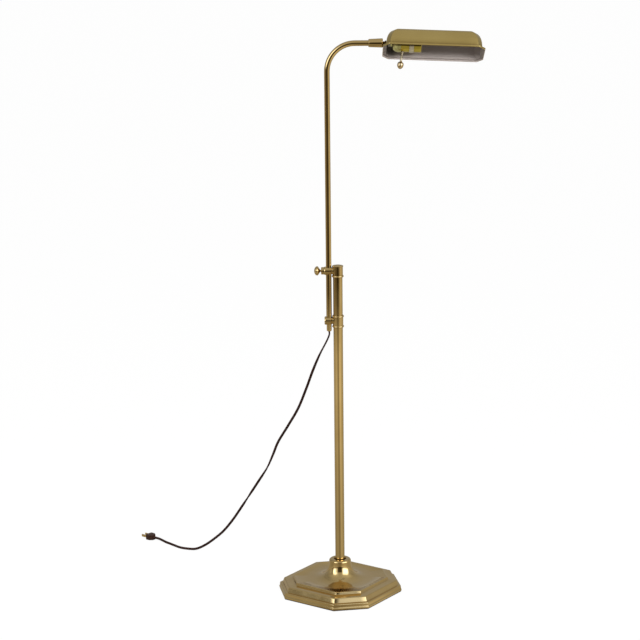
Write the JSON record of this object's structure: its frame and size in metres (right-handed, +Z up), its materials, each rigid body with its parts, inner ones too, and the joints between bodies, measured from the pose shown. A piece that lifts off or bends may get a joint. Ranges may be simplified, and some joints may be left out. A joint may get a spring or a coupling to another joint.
{
  "type": "adjustable floor lamp",
  "caption": "Brass reading floor lamp: moulded square base, round column, sliding bent arm and a long eight-sided shade on a ball swivel.",
  "frame": {"origin": "on the floor, on the axis of the column, at the middle of the underside of the base", "axes": "+Z up along the column, +X the way the arm reaches out, +Y to the back"},
  "size_m": [0.8598, 0.5486, 1.3429],
  "materials": {
    "polished_brass": "polished",
    "shade_brass": "satin",
    "holder_brass": "satin",
    "switch_brass": "polished",
    "blade_brass": "satin",
    "bronze_washer": "satin",
    "nickel": "polished",
    "zinc_steel": "satin",
    "cast_iron": "rough",
    "felt": "matte",
    "insulation": "matte",
    "phenolic": "matte",
    "cord": "satin",
    "plug": "satin"
  },
  "bodies": {
    "stand": {"base_shell": "polished_brass", "base_felt": "felt", "base_ballast": "cast_iron", "base_rod": "zinc_steel", "base_washer": "zinc_steel", "base_nut": "zinc_steel", "column_plug": "polished_brass", "column_tube": "polished_brass", "column_cap": "polished_brass", "upper_collar": "polished_brass", "clamp_bush": "polished_brass", "power_cord": "cord", "plug_body": "plug", "plug_blades": "blade_brass"},
    "clamp": {"clamp_screw": "polished_brass"},
    "knob": {"clamp_knob": "polished_brass"},
    "slider": {"lower_collar": "polished_brass", "cord_bushing": "polished_brass"},
    "arm": {"arm_tube": "polished_brass", "swivel_cup": "polished_brass", "swivel_washer": "bronze_washer"},
    "swivel": {"swivel_ball": "polished_brass"},
    "shade": {"swivel_stem": "polished_brass", "stem_collar": "polished_brass", "shade_shell": "shade_brass", "shade_nut": "zinc_steel", "holder_cap": "holder_brass", "holder_shell": "holder_brass", "holder_ring": "nickel", "holder_liner": "insulation", "holder_core": "phenolic", "holder_screw_shell": "holder_brass", "holder_contact": "holder_brass"},
    "switch": {"switch_stem": "switch_brass", "switch_knob": "switch_brass"}
  },
  "joints": [
    {"name": "arm_slide", "type": "slide", "parent": "stand", "child": "slider", "axis": [0, 0, 1], "range_m": [-0.446, 0.088], "deforming": ["power_cord"]},
    {"name": "arm_swing", "type": "hinge", "parent": "slider", "child": "arm", "pos_m": [-0.021, 0, 0.662], "axis": [0, 0, 1], "range_deg": [-170, 170]},
    {"name": "shade_tilt", "type": "hinge", "parent": "arm", "child": "swivel", "pos_m": [0.1, 0, 1.3095], "axis": [0, 1, 0], "range_deg": [-17, 12]},
    {"name": "shade_roll", "type": "hinge", "parent": "swivel", "child": "shade", "pos_m": [0.1, 0, 1.3095], "axis": [0.9991, 0, -0.0419], "range_deg": [-130, 175]},
    {"name": "switch_turn", "type": "hinge", "parent": "shade", "child": "switch", "pos_m": [0.15054, -0.0071, 1.29023], "axis": [-0.1429, -0.3806, -0.9136], "continuous": true},
    {"name": "clamp_travel", "type": "slide", "parent": "stand", "child": "clamp", "axis": [-1, 0, 0], "range_m": [0, 0.002]},
    {"name": "clamp_turn", "type": "hinge", "parent": "clamp", "child": "knob", "pos_m": [-0.0406, 0, 0.7835], "axis": [-1, 0, 0], "range_deg": [0, 720]}
  ],
  "couplings": [
    {"joint": "clamp_turn", "follows": "clamp_travel", "rad_per_m": 6283.2}
  ]
}
